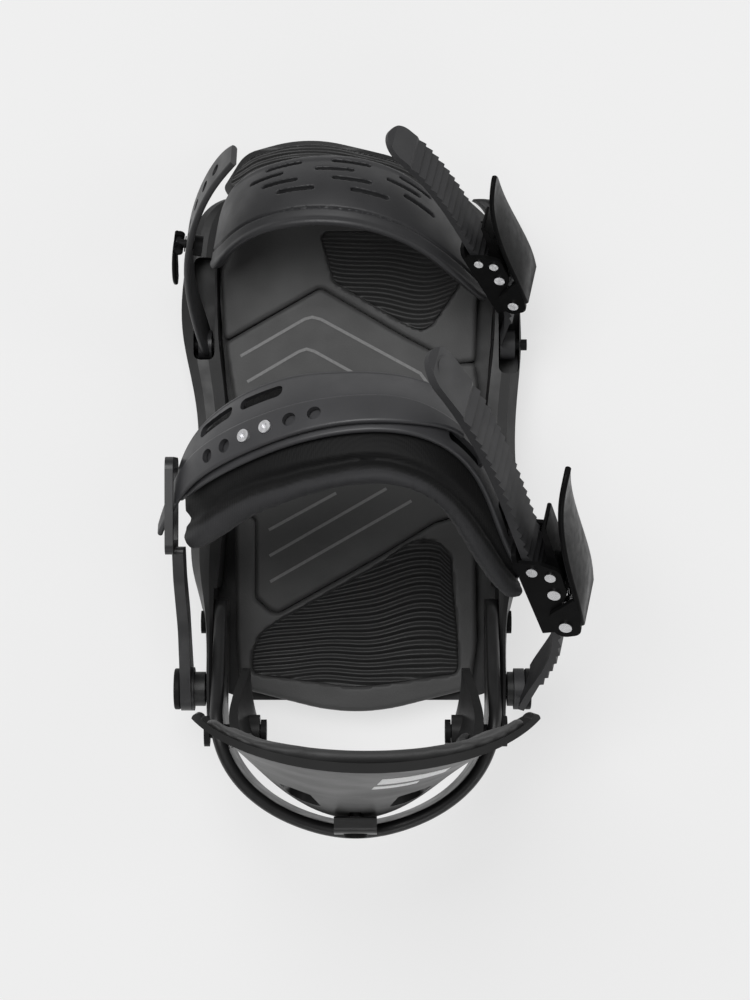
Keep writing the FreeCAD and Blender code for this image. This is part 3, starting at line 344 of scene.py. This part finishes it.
NYLON = moulded_nylon("nylon", 0.010)
CUP = moulded_nylon("heelcup_nylon", 0.012, roughness=0.42)
DISC = moulded_nylon("disc_nylon", 0.04)
FOOTBED = foam_skin("footbed_foam", 0.062)
GRIP = foam_skin("grip_rubber", 0.018, roughness=0.5)
FOAM = cell_foam("underside_foam", 0.03)
SHELL = gloss_shell("highback_shell", 0.027)
# the lighter rim colour is partly a painted highlight on the rolled rear rim
PAD = pad_fabric("pad_lining", 0.005, rim_and_highlight_value=0.034)
HIGHBACK_PAD = foam_skin("highback_foam", 0.030, roughness=0.6)
STRAP = satin_urethane("strap_urethane", 0.050)
ARM = satin_urethane("arm_urethane", 0.022)
CAP = satin_urethane("cap_urethane", 0.032, roughness=0.5)
LADDER = satin_urethane("ladder_urethane", 0.030, roughness=0.55)
BUCKLE = black_metal("buckle_black", 0.006)
DARK_BOLT = black_metal("bolt_black", 0.016, roughness=0.42)
STEEL = bare_steel("pin_steel")
SCREW = bare_steel("screw_steel", value=0.9, roughness=0.5)
SPRING = bare_steel("spring_wire", value=0.35, roughness=0.32)
INK = printed_ink("printed_line", 0.19)
LABEL = printed_ink("label_white", 0.8)

BY_SLOT = {
    "nylon": NYLON, "footbed": FOOTBED, "grip": GRIP, "foam": FOAM, "disc": DISC, "cup": CUP,
    "highback_shell": SHELL, "pad": PAD, "strap": STRAP, "cap": CAP, "ladder": LADDER,
    "buckle": BUCKLE, "steel": STEEL, "dark_bolt": DARK_BOLT, "spring": SPRING,
}
# nodes that look a little different from the rest of their slot
BY_NODE = {"ankle_arm": ARM, "toe_hole_band": ARM, "ankle_band_screws": SCREW}


def paint_cad_nodes():
    """Every CAD node takes its own material, or else the one of its slot in the record."""
    for name, piece in nodes.items():
        material = BY_NODE.get(name, BY_SLOT[slot_of[name]])
        if not piece.material_slots:
            piece.data.materials.append(material)
        for slot in piece.material_slots:
            slot.material = material


# ---- footbed ------------------------------------------------------------------------------
def edge_profile(points, pick, bins=48, blur=7):
    """Highest (pick=np.max) or lowest (pick=np.min) y of a flat piece, as a smooth function of x."""
    x, y = points[:, 0], points[:, 1]
    centres = np.linspace(x.min(), x.max(), bins)
    reach = (x.max() - x.min()) / bins
    values = np.array([pick(y[np.abs(x - centre) <= reach]) for centre in centres])
    padded = np.pad(values, blur // 2, mode="edge")
    values = np.convolve(padded, np.ones(blur) / blur, mode="valid")
    return lambda where: np.interp(where, centres, values)


def ribbed_insert(node, body, name, pitch_mm, depth_mm, follow, wave_mm):
    """Soft insert with moulded ribs of even pitch, which follow its slanted edge and wander a little.

    follow is how much of the slanted edge's slope they take up: above 0 for an upper edge, below 0
    for a lower one.
    """
    piece = remesh(copy_of(node, name), 0.4, smoothing=1)
    points = points_of(piece.data)
    top = points[:, 2].max()
    x, y = points[:, 0] / MM, points[:, 1] / MM
    height = (y - y.min()) / (y.max() - y.min())
    if follow > 0:
        slanted = edge_profile(points, np.max)(points[:, 0]) / MM
        bend = follow * (slanted - slanted.max()) * height
    else:
        slanted = edge_profile(points, np.min)(points[:, 0]) / MM
        bend = -follow * (slanted - slanted.min()) * (1 - height)
    line = y - bend + wave_mm * (np.sin(x / 11 + y / 18) + 0.4 * np.sin(x / 5.2 - y / 15))
    valley = 0.5 - 0.5 * np.cos(2 * math.pi * line / pitch_mm)
    on_top = step_curve(points[:, 2], top - 1.2 * MM, top - 0.2 * MM)
    points[:, 2] -= depth_mm * MM * valley * on_top
    move_points(piece.data, points)
    smooth_faces(piece.data, 60)
    return place_piece(piece, body, GRIP, node)


def footbed_panel(node, body, name):
    """Foam panel with soft edges and a barely uneven top."""
    piece = remesh(copy_of(node, name), 1.2)
    points = points_of(piece.data)
    top = points[:, 2].max()
    on_top = step_curve(points[:, 2], top - 2 * MM, top)
    ripple_mm = 0.12 * np.sin(points[:, 0] / (17 * MM)) * np.sin(points[:, 1] / (21 * MM))
    points[:, 2] += ripple_mm * MM * on_top
    move_points(piece.data, points)
    smooth_faces(piece.data, 50)
    return place_piece(piece, body, FOOTBED, node)


def raised_line(name, outline_mm, width_mm, top, body, material):
    """Printed line: a thin flat strip along a polyline, mitred at its corners, a little above top."""
    sunk, proud = 0.25 * MM, 0.12 * MM
    sharpest = 0.4                   # keeps a mitre from running far out at a tight corner
    points = [Vector((x * MM, y * MM)) for x, y in outline_mm]
    half = width_mm * MM / 2
    left, right = [], []
    for i, point in enumerate(points):
        before = (point - points[i - 1]).normalized() if i else (points[1] - point).normalized()
        after = (points[i + 1] - point).normalized() if i + 1 < len(points) else before
        along = (before + after).normalized()
        side = Vector((-along.y, along.x)) * half / max(sharpest, along.dot(before))
        left.append(point + side)
        right.append(point - side)
    low, high = top - sunk, top + proud
    corners = []
    for a, b in zip(left, right):
        corners += [(a.x, a.y, low), (a.x, a.y, high), (b.x, b.y, high), (b.x, b.y, low)]
    last = len(corners) - 1
    faces = [(0, 1, 2, 3), (last, last - 1, last - 2, last - 3)]
    for i in range(len(points) - 1):
        for j in range(4):
            k = (j + 1) % 4
            faces.append((4 * i + j, 4 * i + 4 + j, 4 * i + 4 + k, 4 * i + k))
    return place_piece(add_object(name, closed_mesh(name, corners, faces)), body, material)


def printed_lines():
    """Nested chevrons behind the toe seam and slanted lines ahead of the heel insert."""
    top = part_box("disc_cover")[1].z
    chevrons = (
        ((-52, 28.0), (-23.5, 44.5), (-20, 45.5), (-16, 44.5), (28.5, 20.3), (32, 15.5), (32, 9)),
        ((-49, 16.5), (-26, 30.0), (-22.5, 31.2), (-19, 30.2), (16.5, 10.5), (21, 4.5), (21, -2)),
        ((-46, 5.0), (-27, 16.2), (-24, 17.2), (-21, 16.2), (6, 1.0)),
    )
    slants = (
        ((-39.3, -49.8), (-9.2, -33.3)),
        ((-39, -61.4), (13.3, -31.3)),
        ((-38.7, -73), (24.5, -36.8)),
    )
    for number, outline in enumerate(chevrons + slants, start=1):
        raised_line(f"printed_line_{number}", outline, 1.3, top, "disc_cover", INK)


def ramp_ridges():
    """Grip strip on the ramp, with three ridges that follow its front edge."""
    piece = remesh(copy_of("toe_ramp_pad", "ramp_grip_strip"), 0.55, smoothing=1)
    points = points_of(piece.data)
    front = edge_profile(points, np.max)(points[:, 0])
    distance = (front - points[:, 1]) / MM
    on_top = step_curve(normals_of(piece.data)[:, 2], 0.5, 0.9)
    pitch_mm, depth_mm = 2.6, 0.7
    valley = 0.5 - 0.5 * np.cos(2 * math.pi * distance / pitch_mm)
    points[:, 2] -= depth_mm * MM * valley * on_top
    move_points(piece.data, points)
    smooth_faces(piece.data, 60)
    return place_piece(piece, "toe_ramp", GRIP, "toe_ramp_pad")


def underside_pad(node):
    """Thin foam pad between the baseplate and the board."""
    piece = remesh(copy_of(node, node + "_foam"), 1.0)
    smooth_faces(piece.data, 50)
    return place_piece(piece, "chassis", FOAM, node)


# ---- straps -------------------------------------------------------------------------------
def arch_coordinates(points, centre_z, bins=40):
    """Where each point of an arched strap lies between its front edge (0) and rear edge (1).

    Also returns how far round the arch it lies, from 0 at the right end to 1 at the left.
    """
    least_width = 4 * MM
    centre_x = (points[:, 0].min() + points[:, 0].max()) / 2
    angle = np.arctan2(points[:, 2] - centre_z, points[:, 0] - centre_x)
    marks = np.linspace(angle.min(), angle.max(), bins)
    reach = (angle.max() - angle.min()) / bins
    front = np.array([points[np.abs(angle - mark) <= reach, 1].max() for mark in marks])
    rear = np.array([points[np.abs(angle - mark) <= reach, 1].min() for mark in marks])
    front, rear = np.interp(angle, marks, front), np.interp(angle, marks, rear)
    around = (angle - angle.min()) / (angle.max() - angle.min())
    return (front - points[:, 1]) / np.maximum(front - rear, least_width), around


def outward_share(points, normals, centre_z):
    """1 where a point of an arch faces away from the boot, 0 where it faces it."""
    away = points - np.array([0.0, 0.0, centre_z])
    away[:, 1] = 0
    away /= np.linalg.norm(away, axis=1)[:, None]
    return step_curve((away * normals).sum(1), 0.05, 0.5)


def puff(piece, cap_mm, pressure=4.0, frames=20):
    """Short cloth simulation that inflates a pad, with a cap on how far any point moves."""
    start = points_of(piece.data)
    cloth = piece.modifiers.new("cloth", "CLOTH")
    cloth.settings.use_pressure = True
    cloth.settings.uniform_pressure_force = pressure
    cloth.settings.effector_weights.gravity = 0
    cloth.settings.quality = 5
    scene = bpy.context.scene
    for number in range(1, frames + 1):
        scene.frame_set(number)
    apply_modifiers(piece)
    scene.frame_set(1)
    moved = points_of(piece.data) - start
    length = np.linalg.norm(moved, axis=1)[:, None]
    moved *= np.minimum(1, cap_mm * MM / np.maximum(length, 1e-9))
    move_points(piece.data, start + moved)
    return piece


def ankle_pad():
    """Padded liner: a rolled rear rim, a deep channel before it and soft quilted cells inside.

    The lifts are in millimetres, along the surface normal.
    """
    piece = remesh(copy_of("ankle_pad", "ankle_liner"), 2.2)
    points = points_of(piece.data)
    centre_z = points[:, 2].min()
    points -= normals_of(piece.data) * 0.5 * MM
    move_points(piece.data, points)
    puff(piece, 0.9)
    subdivide(piece)

    points, normals = points_of(piece.data), normals_of(piece.data)
    across, around = arch_coordinates(points, centre_z)
    outer = outward_share(points, normals, centre_z)
    channel = -2.4 * outer * bump_curve(across, 0.76, 0.07)
    rolled_rim = 1.3 * outer * bump_curve(across, 0.92, 0.09)
    long_seams = np.maximum(bump_curve(across, 0.33, 0.03), bump_curve(across, 0.66, 0.03))
    cell_count = 9
    cell_middle = np.abs((around * cell_count) % 1 - 0.5)
    cross_seams = bump_curve(cell_middle, 0.0, 0.08) * bump_curve(across, 0.5, 0.4)
    lift = channel + rolled_rim - (1 - outer) * (0.9 * long_seams + 0.7 * cross_seams)
    points += normals * (lift * MM)[:, None]

    # the liner's left end hangs a little back and down
    droop = step_curve(around, 0.72, 1.0) * step_curve(across, 0.35, 1.0)
    points[:, 1] -= 9 * MM * droop
    points[:, 2] -= 5 * MM * droop
    move_points(piece.data, points)
    smooth_faces(piece.data, 60)
    # rim marks where the lighter rim colour goes: the rim's own tone plus a painted highlight
    rim = piece.data.attributes.new("rim", "FLOAT", "POINT")
    rim.data.foreach_set("value", step_curve(across, 0.84, 0.87))
    return place_piece(piece, "ankle_strap", PAD, "ankle_pad")


def toe_cap():
    """Moulded cap with its slots, a rolled rear rim and a seam between rim and slots."""
    piece = remesh(copy_of("toe_cap", "toe_cap_shell"), 0.5, smoothing=1)
    points, normals = points_of(piece.data), normals_of(piece.data)
    centre_z = points[:, 2].min()
    across, _ = arch_coordinates(points, centre_z)
    outer = outward_share(points, normals, centre_z)
    rear_rim = 0.9 * bump_curve(across, 0.97, 0.10)
    seam = -0.8 * bump_curve(across, 0.76, 0.025)
    front_rim = 0.5 * bump_curve(across, 0.04, 0.06)
    lift = outer * (rear_rim + seam + front_rim)
    points += normals * (lift * MM)[:, None]
    move_points(piece.data, points)
    smooth_faces(piece.data, 45)
    return place_piece(piece, "toe_strap", CAP, "toe_cap")


def highback_pad():
    """Foam pad inside the highback, with vertical channels and a thin rolled edge."""
    piece = remesh(copy_of("highback_pad", "highback_liner"), 2.2)
    puff(piece, 0.8)
    subdivide(piece)
    points, normals = points_of(piece.data), normals_of(piece.data)
    inner = step_curve(normals[:, 1], 0.2, 0.6)
    width = points[:, 0].max() - points[:, 0].min()
    centre = (points[:, 0].max() + points[:, 0].min()) / 2
    sideways = (points[:, 0] - centre) / width
    height = (points[:, 2] - points[:, 2].min()) / (points[:, 2].max() - points[:, 2].min())
    inside = step_curve(height, 0.06, 0.14) * (1 - step_curve(height, 0.84, 0.92))
    lift = np.zeros(len(points))
    for place in (-0.30, -0.10, 0.10, 0.30):
        lift -= 1.3 * bump_curve(sideways, place * (0.8 + 0.3 * height), 0.018) * inside
    points += normals * (lift * inner * MM)[:, None]
    move_points(piece.data, points)
    smooth_faces(piece.data, 60)
    return place_piece(piece, "highback", HIGHBACK_PAD, "highback_pad")


# ---- highback label -----------------------------------------------------------------------
def rear_surface():
    """The highback's faces, ready for rays."""
    mesh = nodes["highback"].data
    return BVHTree.FromPolygons([v.co for v in mesh.vertices], [p.vertices for p in mesh.polygons])


def label_stripe(name, surface, x_range, z_range, slant):
    """A thin stripe laid on the highback's rear face, its ranges in millimetres."""
    steps, rows = 10, 3
    sunk, proud = 0.20 * MM, 0.15 * MM
    behind = -0.3
    outer, inner = [], []
    for i in range(steps + 1):
        for j in range(rows):
            x = x_range[0] + (x_range[1] - x_range[0]) * i / steps
            z = z_range[0] + (z_range[1] - z_range[0]) * j / (rows - 1)
            start = Vector((x * MM + slant * (z - z_range[0]) * MM, behind, z * MM))
            hit, normal, _, _ = surface.ray_cast(start, Vector((0, 1, 0)))
            outer.append(hit + normal * proud)
            inner.append(hit - normal * sunk)
    count = len(outer)
    faces = []
    for i in range(steps):
        for j in range(rows - 1):
            a = i * rows + j
            b, c, d = a + 1, a + rows + 1, a + rows
            faces.append((a, b, c, d))
            faces.append((count + d, count + c, count + b, count + a))
    rim = [i * rows for i in range(steps)] + [steps * rows + j for j in range(rows - 1)]
    rim += [i * rows + rows - 1 for i in range(steps, 0, -1)] + [j for j in range(rows - 1, 0, -1)]
    for a, b in zip(rim, rim[1:] + rim[:1]):
        faces.append((a, b, count + b, count + a))
    return place_piece(add_object(name, closed_mesh(name, outer + inner, faces)), "highback", LABEL)


def highback_label():
    """Plain generic stripes, right of centre on the rear face."""
    surface = rear_surface()
    label_stripe("rear_stripe_1", surface, x_range=(9, 34), z_range=(216, 235), slant=0.1)
    label_stripe("rear_stripe_2", surface, x_range=(7, 24), z_range=(200, 209), slant=0.1)


# ---- stage --------------------------------------------------------------------------------
def soft_light(name, place, target, size, power):
    """A rectangular area light, aimed at a target."""
    lamp = bpy.data.lights.new(name, "AREA")
    lamp.shape = "RECTANGLE"
    lamp.size, lamp.size_y = size
    lamp.energy = power
    light = add_object(name, lamp)
    light.location = place
    direction = Vector(target) - Vector(place)
    light.rotation_euler = direction.to_track_quat("-Z", "Y").to_euler()


def paint_world(light=0.18, seen=0.68):
    """Dim white surroundings, which the camera sees as bright as the far end of the floor."""
    world = bpy.data.worlds.new("studio")
    world.use_nodes = True
    tree = world.node_tree
    background = tree.nodes["Background"]
    background.inputs["Color"].default_value = (1, 1, 1, 1)
    strength = tree.nodes.new("ShaderNodeMapRange")
    strength.inputs["To Min"].default_value = light
    strength.inputs["To Max"].default_value = seen
    path = tree.nodes.new("ShaderNodeLightPath")
    tree.links.new(path.outputs["Is Camera Ray"], strength.inputs["Value"])
    tree.links.new(strength.outputs["Result"], background.inputs["Strength"])
    bpy.context.scene.world = world


def studio():
    """Pale floor that glows, so that it stays even and nearly without shadow, and three soft lights."""
    glow = 0.64
    bpy.ops.mesh.primitive_plane_add(size=8, location=(0, 0, -0.2 * MM))
    floor = bpy.context.active_object
    floor.name = "floor"
    shader = Shader("floor_paper", (0.25, 0.25, 0.25), 0.9)
    shader.relief(shader.noise(3), 0.02)
    shader.principled.inputs["Emission Color"].default_value = (1, 1, 1, 1)
    shader.principled.inputs["Emission Strength"].default_value = glow
    floor.data.materials.append(shader.done())

    paint_world()
    soft_light("top_softbox", (-0.35, 0.5, 1.7), (0, 0, 0.05), (1.2, 0.9), 21)
    soft_light("rear_strip", (0.25, -1.3, 0.9), (0, -0.1, 0.1), (1.2, 0.35), 4)
    soft_light("side_strip", (1.4, 0.1, 0.7), (0, 0, 0.1), (0.35, 1.0), 3)


def camera():
    """Looks straight down on the binding, from 1.2 m above the board plane."""
    height = 1.2
    view_height = 0.4545      # height of the picture at the board plane
    data = bpy.data.cameras.new("camera")
    data.sensor_width = 36
    data.lens = data.sensor_width * height / view_height
    piece = add_object("camera", data)
    piece.location = (8.2 * MM, -36.4 * MM, height)
    bpy.context.scene.camera = piece


# ---- build --------------------------------------------------------------------------------
paint_cad_nodes()
footbed_panel("footbed_toe", "chassis", "footbed_toe_foam")
footbed_panel("footbed_heel", "chassis", "footbed_heel_foam")
footbed_panel("disc_cover", "disc_cover", "disc_cover_foam")
ribbed_insert("toe_grip_pad", "chassis", "toe_grip_ribs",
              pitch_mm=4.4, depth_mm=1.3, follow=-0.5, wave_mm=0.9)
ribbed_insert("heel_grip_pad", "chassis", "heel_grip_ribs",
              pitch_mm=3.9, depth_mm=1.3, follow=0.6, wave_mm=1.0)
printed_lines()
ramp_ridges()
underside_pad("underpad_toe")
underside_pad("underpad_heel")
ankle_pad()
toe_cap()
highback_pad()
highback_label()
studio()
camera()
bpy.context.scene.view_settings.view_transform = "Standard"
